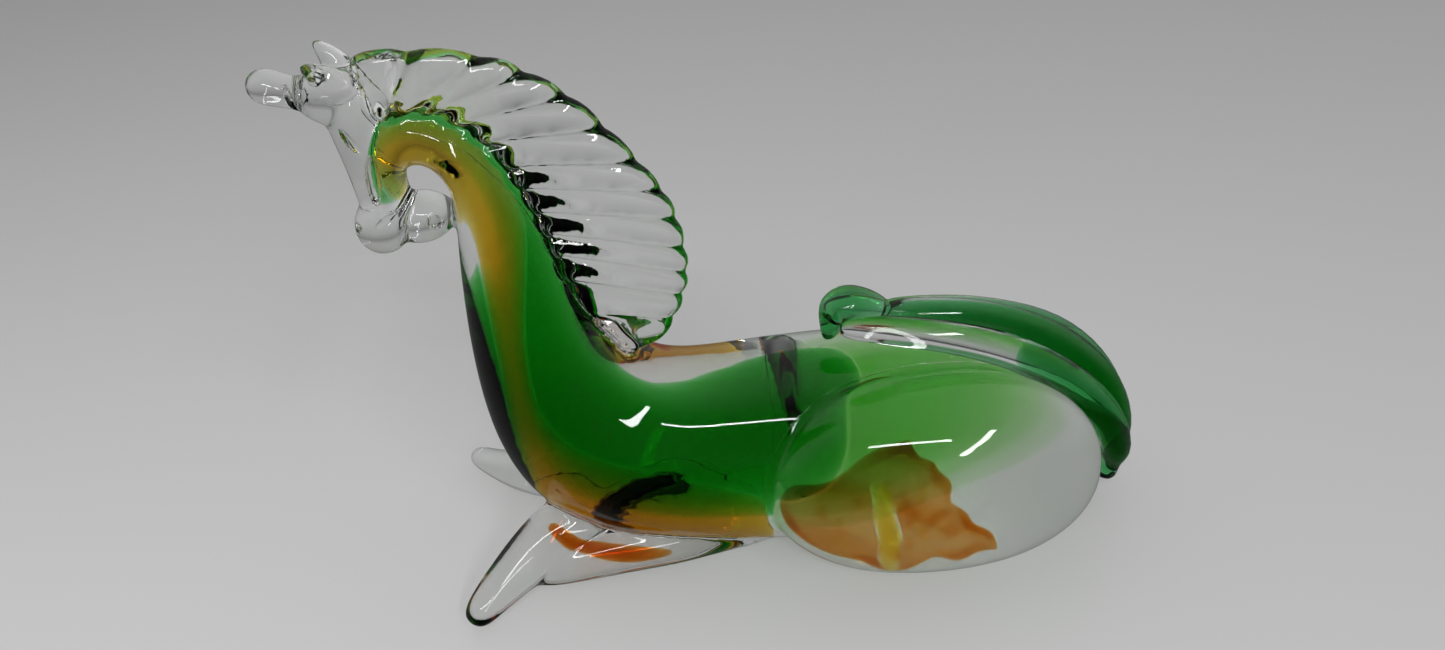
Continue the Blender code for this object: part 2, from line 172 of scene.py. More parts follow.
RIGHT_EAR = (
    (-80.5, 3.4, 128.8, 2.6, 3.4),
    (-82.5, 3.8, 132.0, 2.5, 3.0),
    (-84.4, 4.2, 134.4, 1.8, 2.1),
    (-85.9, 4.6, 136.0, 1.0, 1.1),
)
LEFT_SHIN = (
    (-74.0, -31.0, 3.6, 3.9, 3.4),
    (-71.0, -27.0, 5.0, 4.6, 4.6),
    (-66.5, -22.0, 6.6, 5.4, 6.0),
    (-60.5, -16.5, 9.0, 6.6, 7.6),
    (-52.5, -11.0, 12.5, 8.0, 8.5),
    (-44.0, -8.0, 14.0, 7.0, 7.0),
)
RIGHT_SHIN = (
    (-82.0, 31.5, 3.6, 3.2, 3.0),
    (-77.0, 26.5, 4.8, 3.9, 3.8),
    (-71.0, 21.0, 6.4, 4.8, 5.2),
    (-63.5, 15.5, 9.0, 6.2, 7.2),
    (-54.0, 11.0, 12.5, 7.8, 8.3),
    (-44.0, 8.0, 14.0, 7.0, 7.0),
)
FOREARM = (
    (-60.0, -18.2, 5.0, 4.6, 4.8),
    (-50.0, -16.4, 5.6, 5.8, 5.8),
    (-39.0, -14.5, 6.0, 6.0, 6.4),
    (-25.5, -13.2, 6.2, 6.0, 6.6),
    (-13.0, -10.6, 6.2, 5.8, 6.6),
    (0.0, -8.6, 6.0, 5.4, 6.0),
)
LEFT_HAUNCH = ((39.0, -18.0, 25.0), (40.5, 19.5, 26.0))
RIGHT_HAUNCH = ((41.5, 18.0, 22.5), (38.0, 19.5, 24.0))
HAUNCH_FULLNESS = 2.2
TAIL_LEFT = (
    (21.0, -5.0, 60.4, 3.2, 3.2),
    (34.0, -6.3, 58.8, 3.6, 3.8),
    (48.0, -7.0, 55.6, 3.8, 4.2),
    (62.0, -7.6, 50.2, 4.0, 4.5),
    (76.0, -8.0, 40.4, 4.2, 4.8),
    (86.0, -7.6, 27.0, 4.4, 4.9),
    (90.0, -6.0, 14.8, 4.6, 4.9),
    (88.0, -4.0, 8.6, 4.2, 4.2),
)
TAIL_MIDDLE = (
    (30.0, 0.2, 61.0, 3.4, 2.8),
    (46.0, 0.6, 58.6, 4.2, 3.6),
    (62.0, 0.9, 54.0, 4.6, 4.2),
    (77.0, 1.0, 44.8, 4.8, 4.8),
    (87.5, 1.0, 31.5, 4.7, 4.9),
    (91.5, 1.0, 18.0, 4.6, 4.8),
    (89.5, 1.2, 9.5, 4.0, 4.0),
)
TAIL_RIGHT = (
    (33.0, 6.0, 57.8, 3.0, 2.6),
    (48.0, 7.2, 55.6, 3.8, 3.2),
    (61.0, 8.0, 51.8, 4.2, 3.9),
    (75.0, 8.4, 45.6, 4.6, 4.4),
    (85.5, 8.4, 35.0, 4.6, 4.6),
    (92.0, 8.0, 22.5, 4.4, 4.6),
    (92.5, 6.8, 13.0, 4.2, 4.4),
    (89.0, 5.0, 8.0, 3.6, 3.6),
)
TAIL_CURL = (
    (30.5, -1.6, 62.6, 3.0, 2.2),
    (26.5, -2.2, 65.0, 4.2, 3.4),
    (20.8, -3.0, 66.6, 5.6, 4.6),
    (16.4, -3.4, 63.6, 5.0, 3.2),
    (17.4, -4.0, 59.2, 4.2, 2.6),
)
# Path of an orange streak in each forearm near the shoulder: a painted reflection of the amber
# core, which the clear leg shows by refraction.
LEG_PAINTED_REFLECTION = (
    (-55.0, -13.5, 14.0, 1.4, 1.8),
    (-50.5, -15.5, 10.4, 2.0, 2.2),
    (-44.0, -16.6, 7.6, 1.7, 1.8),
    (-37.0, -16.6, 6.4, 1.9, 2.0),
    (-31.0, -16.4, 5.8, 1.5, 1.4),
    (-26.5, -16.0, 5.6, 0.7, 0.7),
)
COLOUR_GROUND = 0.6  # how far a colour stays off the ground face
ROOM = 0.3  # gap between two colours, so that no faces coincide; it does not show
CANE_COLOUR = (0.48, 0.84)  # coloured share of a tail cane's thickness, at its front and end
CANE_GROW = -0.1  # how much thicker the clear canes are than drawn

# Outline (x, z) of the amber stain inside a haunch.
STAIN_OUTLINE = (
    (2.8, 26.0),
    (7.0, 30.5),
    (13.0, 30.5),
    (19.0, 34.5),
    (25.5, 36.5),
    (31.5, 43.0),
    (33.0, 35.0),
    (37.5, 34.0),
    (37.0, 30.0),
    (41.5, 28.5),
    (39.0, 24.5),
    (44.5, 22.5),
    (44.0, 18.0),
    (50.0, 17.0),
    (52.0, 10.5),
    (47.5, 13.5),
    (43.0, 9.0),
    (38.0, 13.0),
    (33.0, 9.0),
    (28.0, 6.5),
    (22.0, 12.0),
    (17.0, 11.0),
    (8.0, 16.5),
    (4.5, 21.0),
)
SPOT_OUTLINE = tuple((30 + (x - 27) * 0.3, 8 + (z - 23) * 0.25) for x, z in STAIN_OUTLINE)
# Outline, depth (y), thickness and rim of the two stains. The right one is a small spot.
STAINS = {
    "left": (STAIN_OUTLINE, -25.0, 1.4, 1.2),
    "right": (SPOT_OUTLINE, 23.5, 0.9, 0.7),
}
STAIN_VOXEL = 0.5 * UNIT

# A bright yellow streak down through the left stain.
GOLD_STREAK = (
    (24.5, -25.0, 31.0, 0.8, 1.6),
    (26.5, -25.0, 27.0, 1.7, 2.4),
    (26.0, -25.0, 22.5, 1.4, 2.4),
    (28.0, -25.0, 17.0, 2.0, 2.6),
    (27.0, -25.0, 11.0, 1.6, 2.4),
    (28.5, -25.0, 7.0, 0.9, 1.6),
)

# Crest: rib lines from neck (x, z) to rim (x, z).
CREST_RIBS = (
    (-75.0, 122.0, -78.5, 133.0),
    (-73.0, 121.2, -66.5, 133.6),
    (-71.0, 120.4, -52.4, 131.1),
    (-69.1, 119.6, -44.0, 127.1),
    (-64.4, 117.4, -36.2, 121.4),
    (-59.0, 113.9, -29.3, 113.6),
    (-54.2, 108.5, -23.3, 105.1),
    (-50.4, 103.3, -18.9, 97.7),
    (-47.6, 97.4, -16.5, 90.8),
    (-45.7, 91.9, -15.5, 83.3),
    (-44.2, 86.4, -15.6, 77.0),
    (-42.2, 79.6, -16.9, 71.2),
    (-37.6, 69.4, -19.6, 65.2),
    (-30.0, 58.0, -23.1, 59.6),
)
CREST_ROOT_HALF, CREST_EDGE_HALF = 6.0, 2.4
CREST_BULGE = 1.2
CREST_STEPS = 8  # sections in one rib
CREST_SPANS = 10  # spans from root to rim


# ---- mesh helpers ------------------------------------------------------------------------
def place(x, y, z):
    return Vector((MIDDLE + x * UNIT, y * UNIT, FLOOR + z * UNIT))


def mirrored(rows):
    if isinstance(rows[0], tuple):
        return tuple(mirrored(row) for row in rows)
    return (rows[0], -rows[1], *rows[2:])


def mirrored_lump(row):
    (x, y, z), halves, tilt = row
    return (x, -y, z), halves, tilt


def new_object(name, bm):
    mesh = bpy.data.meshes.new(name)
    bmesh.ops.recalc_face_normals(bm, faces=bm.faces)
    bm.to_mesh(mesh)
    bm.free()
    mesh.shade_smooth()
    obj = bpy.data.objects.new(name, mesh)
    bpy.context.scene.collection.objects.link(obj)
    return obj


def apply_modifiers(obj):
    depsgraph = bpy.context.evaluated_depsgraph_get()
    mesh = bpy.data.meshes.new_from_object(obj.evaluated_get(depsgraph))
    old = obj.data
    obj.modifiers.clear()
    obj.data = mesh
    if old.users == 0:
        bpy.data.meshes.remove(old)
    return obj


ROUNDING_LEVELS = 2


def rounded(obj):
    modifier = obj.modifiers.new("rounding", "SUBSURF")
    modifier.levels = ROUNDING_LEVELS
    modifier.render_levels = ROUNDING_LEVELS
    return apply_modifiers(obj)


def ring(centre, first, second, first_half, second_half, sides):
    points = []
    for step in range(sides):
        angle = 2 * math.pi * (step + 0.5) / sides
        points.append(
            centre
            + first * (first_half * math.cos(angle))
            + second * (second_half * math.sin(angle))
        )
    return points


def skin(name, rings):
    bm = bmesh.new()
    loops = [[bm.verts.new(point) for point in points] for points in rings]
    count = len(loops[0])
    for here, there in zip(loops, loops[1:]):
        for k in range(count):
            following = (k + 1) % count
            bm.faces.new((here[k], here[following], there[following], there[k]))
    bm.faces.new(loops[0])
    bm.faces.new(loops[-1])
    return new_object(name, bm)


TIP_SIZE = 0.45  # a closing ring's size, as a share of the last ring
TUBE_TIP_REACH, GATHER_TIP_REACH = 0.6, 0.55  # how far it stands out, in half thicknesses


def cage_factor(sides):
    """How much larger a cage has to be for its rounded surface to come out at size."""
    return 3.0 / (2.0 + math.cos(2 * math.pi / sides))


def gather_stations():
    for belly_x, belly_z, back_x, back_z, half_width in STATIONS:
        yield place(belly_x, 0, belly_z), place(back_x, 0, back_z), half_width * UNIT


def core_stations(shares, first=None):
    """A core's own stations. They end at the casing's last but one unless first is given."""
    first = len(STATIONS) - 1 - len(shares) if first is None else first
    inner = list(gather_stations())[first : first + len(shares)]
    for (belly, back, half_width), (start, end, share) in zip(inner, shares):
        way = back - belly
        yield belly + way * start, belly + way * end, half_width * share


def gather(name, stations, sides=12, grow=0.0):
    stations = list(stations)
    grow = grow * UNIT
    larger = cage_factor(sides)

    def section(belly, back, half_width):
        up = (back - belly).normalized()
        height = ((back - belly).length / 2 + grow) * larger
        return ring((belly + back) / 2, up, ACROSS, height, (half_width + grow) * larger, sides)

    rings = [section(*station) for station in stations]
    ends = []
    for last, before in ((stations[0], stations[1]), (stations[-1], stations[-2])):
        outward = ((last[0] + last[1]) - (before[0] + before[1])).normalized()
        centre = (last[0] + last[1]) / 2
        reach = min(last[2], (last[1] - last[0]).length / 2)
        ends.append(
            [
                centre + (point - centre) * TIP_SIZE + outward * (reach * GATHER_TIP_REACH + grow)
                for point in section(*last)
            ]
        )
    return rounded(skin(name, [ends[0], *rings, ends[1]]))


def path_tube(name, path, sides=10, grow=0.0):
    points = [place(*row[:3]) for row in path]
    larger = cage_factor(sides)
    rings = []
    for k, row in enumerate(path):
        ahead = points[min(k + 1, len(points) - 1)]
        behind = points[max(k - 1, 0)]
        along = (ahead - behind).normalized()
        level = Vector((along.y, -along.x, 0.0))
        level = ACROSS if level.length < 0.2 or abs(along.y) < 1e-6 else level.normalized()
        if level.y < 0:
            level = -level
        normal = level.cross(along).normalized()
        width, thickness = (row[3] + grow) * UNIT, (row[4] + grow) * UNIT
        rings.append(ring(points[k], level, normal, width * larger, thickness * larger, sides))
    for end, inner in ((0, 1), (-1, -2)):
        outward = (points[end] - points[inner]).normalized()
        reach = (min(path[end][3], path[end][4]) * TUBE_TIP_REACH + grow) * UNIT
        tip = [points[end] + (p - points[end]) * TIP_SIZE + outward * reach for p in rings[end]]
        if end == 0:
            rings.insert(0, tip)
        else:
            rings.append(tip)
    return rounded(skin(name, rings))


def egg(name, centre, halves, tilt=0.0, fullness=2.0, grow=0.0, segments=48, rings=28):
    bm = bmesh.new()
    bmesh.ops.create_uvsphere(bm, u_segments=segments, v_segments=rings, radius=1.0)
    half = (Vector(halves) + Vector((grow, grow, grow))) * UNIT
    turn = math.radians(tilt)
    for vert in bm.verts:
        size = sum(abs(value) ** fullness for value in vert.co) ** (1.0 / fullness)
        p = Vector((vert.co.x * half.x, vert.co.y * half.y, vert.co.z * half.z)) / size
        vert.co = place(*centre) + Vector(
            (
                p.x * math.cos(turn) + p.z * math.sin(turn),
                p.y,
                -p.x * math.sin(turn) + p.z * math.cos(turn),
            )
        )
    return new_object(name, bm)


def smooth_rows(rows, steps):
    """Rows of numbers with steps rows for each span, on a smooth curve through them."""
    result = []
    last = len(rows) - 1
    for k in range(last):
        before, here = rows[max(k - 1, 0)], rows[k]
        there, after = rows[k + 1], rows[min(k + 2, last)]
        for step in range(steps):
            t = step / steps
            result.append(
                tuple(
                    0.5
                    * (
                        2 * b
                        + (c - a) * t
                        + (2 * a - 5 * b + 4 * c - d) * t * t
                        + (3 * b - a - 3 * c + d) * t * t * t
                    )
                    for a, b, c, d in zip(before, here, there, after)
                )
            )
    result.append(tuple(rows[-1]))
    return result


def crest(name, grow=0.0, ribbed=True):
    """The pressed fan: convex ribs with narrow grooves between, thinner towards the rim."""
    shares = [k / CREST_SPANS for k in range(CREST_SPANS + 1)]
    rings = []
    for k, (root_x, root_z, rim_x, rim_z) in enumerate(smooth_rows(CREST_RIBS, CREST_STEPS)):
        swell = abs(math.sin(math.pi * k / CREST_STEPS)) ** 0.55 if ribbed else 1.0
        root, rim = place(root_x, 0, root_z), place(rim_x, 0, rim_z)
        rim += (rim - root).normalized() * (CREST_BULGE * swell + grow) * UNIT
        side = []
        for share in shares:
            taper = CREST_ROOT_HALF + (CREST_EDGE_HALF - CREST_ROOT_HALF) * share
            edge = math.sqrt(max(0.0, 1.0 - max(0.0, (share - 0.8) / 0.2) ** 2) * 0.85 + 0.15)
            half = taper * edge * (0.66 + 0.34 * swell) + grow
            side.append((root.lerp(rim, share), half * UNIT))
        points = [spot + ACROSS * half for spot, half in side]
        points += [spot - ACROSS * half for spot, half in reversed(side)]
        rings.append(points)
    return skin(name, rings)


def joined(name, objects):
    """One object holding all the meshes, still separate shells; the inputs are removed."""
    bm = bmesh.new()
    for obj in objects:
        bm.from_mesh(obj.data)
    result = new_object(name, bm)
    for obj in objects:
        bpy.data.objects.remove(obj, do_unlink=True)
    return result


def fused(name, objects, voxel=VOXEL, relax=MELT_ROUNDS):
    """The union of overlapping shapes with hot, softened joints."""
    obj = joined(name, objects)
    remesh = obj.modifiers.new("melt", "REMESH")
    remesh.mode = "VOXEL"
    remesh.voxel_size = voxel
    remesh.use_smooth_shade = True
    soften = obj.modifiers.new("soften", "SMOOTH")
    soften.factor = 0.5
    soften.iterations = relax
    return apply_modifiers(obj)


def soften(obj, rounds, weigh):
    """Smooths a mesh where weigh(x, y, z), in drawn millimetres, is above 0."""
    group = obj.vertex_groups.new(name="soft")
    for vert in obj.data.vertices:
        x, y, z = vert.co
        weight = weigh((x - MIDDLE) / UNIT, y / UNIT, (z - FLOOR) / UNIT)
        if weight > 0:
            group.add([vert.index], min(weight, 1.0), "REPLACE")
    modifier = obj.modifiers.new("soften", "SMOOTH")
    modifier.factor = 0.5
    modifier.iterations = rounds
    modifier.vertex_group = group.name
    apply_modifiers(obj)
    obj.vertex_groups.clear()


# Where the glass is softened, in drawn millimetres: a start and how far it takes to fade in.
RUMP_X, RUMP_FADE = -25, 15
RIGHT_Y, RIGHT_FADE = 4, 6
UNDER_Z, UNDER_FADE = 6, 4
ARCH_X, ARCH_Z, ARCH_FADE = (-69, -50), 96, 3
HEAD_X, HEAD_Z = -64, 88
# Smoothing rounds of each.
RUMP_ROUNDS, ARCH_ROUNDS, HEAD_ROUNDS = 160, 60, 5


def rump_hidden_side(x, y, z):
    """The rump's right side and underside. Both are unseen, and taken to be melted smooth."""
    if x < RUMP_X:
        return 0.0
    right = (y - RIGHT_Y) / RIGHT_FADE
    under = (UNDER_Z - z) / UNDER_FADE
    return min(max(right, under), (x - RUMP_X) / RUMP_FADE)


def arch_hidden_side(x, y, z):
    """The right side of the neck's arch."""
    return y / ARCH_FADE if ARCH_X[0] < x < ARCH_X[1] and z > ARCH_Z else 0.0


def whole_head(x, y, z):
    return 1.0 if x < HEAD_X and z > HEAD_Z else 0.0


def boolean(obj, other, operation):
    modifier = obj.modifiers.new(operation, "BOOLEAN")
    modifier.operation = operation
    modifier.solver = "MANIFOLD"
    modifier.object = other
    apply_modifiers(obj)


def paint(obj, *materials):
    """Gives obj these materials only. A boolean leaves an empty slot, which goes too."""
    for poly in obj.data.polygons:
        poly.material_index = 0
    obj.data.materials.clear()
    for material in materials:
        obj.data.materials.append(material)


def copy_of(obj, name):
    twin = bpy.data.objects.new(name, obj.data.copy())
    bpy.context.scene.collection.objects.link(twin)
    return twin


def remove(*objects):
    for obj in objects:
        bpy.data.objects.remove(obj, do_unlink=True)


# ---- materials ---------------------------------------------------------------------------
def principled(name):
    material = bpy.data.materials.new(name)
    material.use_nodes = True
    return material, material.node_tree.nodes["Principled BSDF"]


# The crystal's faint green tint, darkened further as painted shade: it stands in for the horse's
# shadow on the floor seen through the glass, and it dims all the clear glass alike.
CRYSTAL_TINT_AND_SHADE = (0.955, 0.968, 0.96, 1)
CRYSTAL_IOR = 1.5
WAVE_SCALE, WAVE_STRENGTH, WAVE_DISTANCE = 55.0, 0.02, 0.002
SMEAR_SCALE, SMEAR_START, SMEAR_FULL, SMEAR_ROUGHNESS = 30.0, 0.45, 0.8, 0.012


def clear_glass(name="clear_crystal"):
    """Fire-polished crystal: faint draw waves in the surface, hardly any roughness."""
    material, shader = principled(name)
    nodes, links = material.node_tree.nodes, material.node_tree.links
    # Faint tint plus painted shade for the shadowed floor seen through the glass.
    shader.inputs["Base Color"].default_value = CRYSTAL_TINT_AND_SHADE
    shader.inputs["Transmission Weight"].default_value = 1.0
    shader.inputs["IOR"].default_value = CRYSTAL_IOR
    coordinates = nodes.new("ShaderNodeTexCoord")
    noise = nodes.new("ShaderNodeTexNoise")
    noise.inputs["Scale"].default_value = WAVE_SCALE
    noise.inputs["Detail"].default_value = 2.0
    links.new(coordinates.outputs["Object"], noise.inputs["Vector"])
    bump = nodes.new("ShaderNodeBump")
    bump.inputs["Strength"].default_value = WAVE_STRENGTH
    bump.inputs["Distance"].default_value = WAVE_DISTANCE
    links.new(noise.outputs["Fac"], bump.inputs["Height"])
    links.new(bump.outputs["Normal"], shader.inputs["Normal"])
    smear = nodes.new("ShaderNodeTexNoise")
    smear.inputs["Scale"].default_value = SMEAR_SCALE
    links.new(coordinates.outputs["Object"], smear.inputs["Vector"])
    ramp = nodes.new("ShaderNodeMapRange")
    ramp.inputs["From Min"].default_value = SMEAR_START
    ramp.inputs["From Max"].default_value = SMEAR_FULL
    ramp.inputs["To Min"].default_value = 0.0
    ramp.inputs["To Max"].default_value = SMEAR_ROUGHNESS
    links.new(smear.outputs["Fac"], ramp.inputs["Value"])
    links.new(ramp.outputs["Result"], shader.inputs["Roughness"])
    return material


def joint_glass():
    """The joint inside fused glass: nothing is seen there, so light goes straight on."""
    material = bpy.data.materials.new("fused_joint")
    material.use_nodes = True
    nodes, links = material.node_tree.nodes, material.node_tree.links
    nodes.clear()
    clear = nodes.new("ShaderNodeBsdfTransparent")
    output = nodes.new("ShaderNodeOutputMaterial")
    links.new(clear.outputs["BSDF"], output.inputs["Surface"])
    return material


def colour_glass(name, passed, depth):
    """Coloured glass that only absorbs: passed is the light left after depth metres of it."""
    material, shader = principled(name)
    nodes, links = material.node_tree.nodes, material.node_tree.links
    shader.inputs["Base Color"].default_value = (1, 1, 1, 1)
    shader.inputs["Transmission Weight"].default_value = 1.0
    shader.inputs["Roughness"].default_value = 0.0
    shader.inputs["IOR"].default_value = 1.0
    # Absorption per metre is density times (1 - colour), so the deepest channel sets density.
    losses = [-math.log(value) / depth for value in passed]
    density = max(losses)
    absorb = nodes.new("ShaderNodeVolumeAbsorption")
    absorb.inputs["Density"].default_value = density
    absorb.inputs["Color"].default_value = (*[1 - loss / density for loss in losses], 1)
    links.new(absorb.outputs["Volume"], nodes["Material Output"].inputs["Volume"])
    return material


# ---- pieces ------------------------------------------------------------------------------
def publish(obj, slot, *nodes):
    obj.data.validate()
    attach(obj, "root")
    if nodes:
        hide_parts(*nodes)
    return obj


def head_parts(name, grow=0.0):
    lumps = [
        egg(name + "_lump", centre, halves, tilt, grow=grow)
        for centre, halves, tilt in (BROW, MUZZLE, CHIN)
    ]
    return [path_tube(name, FACE, grow=grow), *lumps]


def leg_parts(name, shin, forearm, grow=0.0):
    return [path_tube(name, shin, grow=grow), path_tube(name + "_forearm", forearm, grow=grow)]


def haunch(name, form, grow=0.0):
    return egg(name, *form, fullness=HAUNCH_FULLNESS, grow=grow, segments=64, rings=40)


def ground(obj, level=0.0, contact=None):
    """Grinds the underside flat; contact is the material slot of the ground face."""
    bm = bmesh.new()
    bm.from_mesh(obj.data)
    geometry = [*bm.verts, *bm.edges, *bm.faces]
    bmesh.ops.bisect_plane(
        bm,
        geom=geometry,
        plane_co=(0, 0, FLOOR + level * UNIT),
        plane_no=(0, 0, -1),
        clear_outer=True,
    )
    rim = [edge for edge in bm.edges if edge.is_boundary]
    base = bmesh.ops.holes_fill(bm, edges=rim, sides=0)["faces"]
    if contact is not None:
        for face in base:
            face.material_index = contact
    bmesh.ops.triangulate(bm, faces=[face for face in bm.faces if len(face.verts) > 4])
    bm.to_mesh(obj.data)
    bm.free()
    return obj


PIECES = (
    ("left_haunch", lambda grow: [haunch("cell", LEFT_HAUNCH, grow)]),
    ("right_haunch", lambda grow: [haunch("cell", RIGHT_HAUNCH, grow)]),
    ("left_foreleg", lambda grow: leg_parts("cell", LEFT_SHIN, FOREARM, grow)),
    ("right_foreleg", lambda grow: leg_parts("cell", RIGHT_SHIN, mirrored(FOREARM), grow)),
    ("left_ear", lambda grow: [path_tube("cell", LEFT_EAR, 8, grow)]),
    ("right_ear", lambda grow: [path_tube("cell", RIGHT_EAR, 8, grow)]),
    ("forelock", lambda grow: [path_tube("cell", FORELOCK, grow=grow)]),
    ("head", lambda grow: head_parts("cell", grow)),
    ("mane_crest", lambda grow: [crest("cell", grow, ribbed=grow == 0)]),
)
CELL_MARGIN = 1.6  # how far a piece's cell stands off its surface
CELL_VOXEL, CELL_ROUNDS = VOXEL * 2, 4
CASING_MARGIN = -1.2  # the casing keeps what lies this deep in it
# Faces this low under the rump's right side are transparent, as the ground face is.
CONTACT_Z, CONTACT_Y, CONTACT_X = 9 * UNIT, 2 * UNIT, -10 * UNIT
CONTACT_TILT = -0.4
JOINT_SLOT = 1  # the joint material's slot in the clear glass


def clear_body():
    glass, joint = clear_glass(), joint_glass()
    shapes = [gather("casing", gather_stations())]
    for name, make in PIECES:
        shapes += make(0.0)
    whole = fused("glass_casing", shapes)
    soften(whole, RUMP_ROUNDS, rump_hidden_side)
    soften(whole, ARCH_ROUNDS, arch_hidden_side)
    paint(whole, glass, joint)
    for centre, halves, tilt in (*HEAD_DENTS, *(mirrored_lump(row) for row in HEAD_DENTS)):
        dent = egg("dent", centre, halves, tilt, segments=24, rings=14)
        boolean(whole, dent, "DIFFERENCE")
        remove(dent)
    soften(whole, HEAD_ROUNDS, whole_head)
    ground(whole, contact=JOINT_SLOT)
    for poly in whole.data.polygons:
        x, y, z = poly.center
        low = z - FLOOR < CONTACT_Z and y > CONTACT_Y and x > MIDDLE + CONTACT_X
        if low and poly.normal.z < CONTACT_TILT:
            poly.material_index = JOINT_SLOT
    casing_inside = gather("casing_inside", gather_stations(), grow=CASING_MARGIN)
    for name, make in PIECES:
        cell = fused("cell_" + name, make(CELL_MARGIN), CELL_VOXEL, CELL_ROUNDS)
        boolean(cell, casing_inside, "DIFFERENCE")
        paint(cell, joint)
        piece = copy_of(whole, "glass_" + name)
        boolean(piece, cell, "INTERSECT")
        boolean(whole, cell, "DIFFERENCE")
        remove(cell)
        publish(piece, "clear_crystal", name)
    remove(casing_inside)
    publish(whole, "clear_crystal", "crystal_casing")


OUTLINE_STEPS = 4  # points for each span of the stain's outline
VEIL_WAVE = 0.9 * UNIT  # how far the stain's sheet sways
COLOUR_ROUNDS = 6  # smoothing rounds of a colour
LOBE_LAYERS = 3  # nested layers of the pale lobe, which make its edge fade
LOBE_GROW, LOBE_STEP = 1.5, 2.2  # the outer layer stands out this far; each next one is smaller


def veil(name, outline, y, thickness, rim):
    """A thin sheet of colour in the X-Z plane at y, with an uneven outline and a thicker rim."""
    bm = bmesh.new()
    corners = smooth_rows((*outline, outline[0]), OUTLINE_STEPS)[:-1]
    bm.faces.new([bm.verts.new(place(x, y + thickness / 2, z)) for x, z in corners])
    out = bmesh.ops.extrude_face_region(bm, geom=list(bm.faces))
    moved = [item for item in out["geom"] if isinstance(item, bmesh.types.BMVert)]
    bmesh.ops.translate(bm, verts=moved, vec=(0, -thickness * UNIT, 0))
    bmesh.ops.triangulate(bm, faces=bm.faces)
    edge = []
    for k, (x, z) in enumerate((*outline, outline[0])):
        half = rim * (1 + 0.4 * math.sin(k * 1.7))
        edge.append((x, y, z, half, half))
    shapes = [new_object(name + "_sheet", bm), path_tube(name + "_rim", edge)]
    middle_x, middle_z = (sum(values) / len(outline) for values in zip(*outline))
    for k, (x, z) in enumerate(outline):
        # Denser spots between the rim and the middle. The sines only make them differ.
        inward = 0.35 + 0.45 * math.sin(k * 2.3) ** 2
        spot_x, spot_z = x + (middle_x - x) * inward, z + (middle_z - z) * inward
        halves = (rim * (2 + math.sin(k * 1.3)), thickness * 0.75, rim * (1.7 + math.cos(k * 2.1)))
        spot = egg(name + "_spot", (spot_x, y, spot_z), halves, k * 50, segments=16, rings=10)
        shapes.append(spot)
    obj = fused(name, shapes, STAIN_VOXEL, COLOUR_ROUNDS)
    for vert in obj.data.vertices:
        x, z = vert.co.x / UNIT, vert.co.z / UNIT
        vert.co.y += VEIL_WAVE * (math.sin(x * 0.31 + 1.0) + math.sin(z * 0.42 + x * 0.17))
    return obj


def colour_core(name, shares, grow=0.0):
    shape = gather(name, core_stations(shares), grow=grow)
    return fused("colour_" + name, [shape], relax=COLOUR_ROUNDS)


def colour_cores():
    green = colour_glass("green_core_glass", (0.07, 0.52, 0.08), 0.010)
    amber = colour_glass("amber_core_glass", (0.70, 0.46, 0.04), 0.010)
    # Rust glass for the haunch stains, which are real, and for the forearm streaks, which are
    # painted reflection.
    rust_stain_and_reflection = colour_glass("rust_stain_and_painted_reflection_glass", (0.76, 0.24, 0.03), 0.0026)
    gold = colour_glass("gold_streak_glass", (0.95, 0.66, 0.10), 0.003)
    pale = colour_glass("pale_green_glass", (0.74, 0.93, 0.68), 0.010)
    core, heart = colour_core("green", GREEN_SHARES), colour_core("amber", AMBER_SHARES)
    for layer in range(LOBE_LAYERS):
        name = f"colour_green_lobe_{layer + 1}"
        grow = LOBE_GROW - LOBE_STEP * layer
        lobe = gather(name, core_stations(PALE_SHARES, 1), grow=grow)
        room = colour_core("green_room", GREEN_SHARES, ROOM * (1 + layer))
        boolean(lobe, room, "DIFFERENCE")
        remove(room)
        paint(lobe, pale)
        publish(lobe, "green_glass")
    room = colour_core("amber_room", AMBER_SHARES, ROOM)
    boolean(core, room, "DIFFERENCE")
    remove(room)
    paint(core, green)
    publish(ground(core, COLOUR_GROUND), "green_glass", "green_core")
    paint(heart, amber)
    publish(ground(heart, COLOUR_GROUND), "amber_glass", "amber_core")
    for side, turn in (("left", lambda rows: rows), ("right", mirrored)):
        # The forearm streak is a painted reflection of the amber core, made in the stain's rust
        # glass.
        streak = path_tube(side + "_leg_painted_reflection", turn(LEG_PAINTED_REFLECTION))
        paint(streak, rust_stain_and_reflection)
        publish(streak, "amber_glass", side + "_foreleg_amber")
        stain = veil(side + "_haunch_stain", *STAINS[side])
        if side == "left":
            streak = path_tube("gold_streak", GOLD_STREAK)
            room = path_tube("gold_streak_room", GOLD_STREAK, grow=ROOM)
            boolean(stain, room, "DIFFERENCE")
            remove(room)
            paint(streak, gold)
            publish(streak, "amber_glass")
        paint(stain, rust_stain_and_reflection)
        publish(stain, "amber_glass", side + "_haunch_amber")


def tail():
    """Clear canes with green inside, which gets thicker towards the end. The number is the row
    of the path where the colour starts."""
    clear = clear_glass("cane_crystal")
    green = colour_glass("tail_glass", (0.06, 0.45, 0.12), 0.006)
    first_share, last_share = CANE_COLOUR
    for name, path, coloured in (
        ("tail_middle_strand", TAIL_MIDDLE, 0),
        ("tail_left_strand", TAIL_LEFT, 3),
        ("tail_right_strand", TAIL_RIGHT, 0),
        ("tail_curl", TAIL_CURL, 0),
    ):
        strand = path_tube("glass_" + name, path, grow=CANE_GROW)
        paint(strand, clear)
        publish(strand, "tail_green", name)
        inner = []
        for k, (x, y, z, width, thickness) in enumerate(path):
            share = first_share + (last_share - first_share) * k / (len(path) - 1)
            inner.append((x, y, z, width * share, thickness * share))
        core = path_tube("colour_" + name, inner[coloured:])
        paint(core, green)
        publish(core, "tail_green")


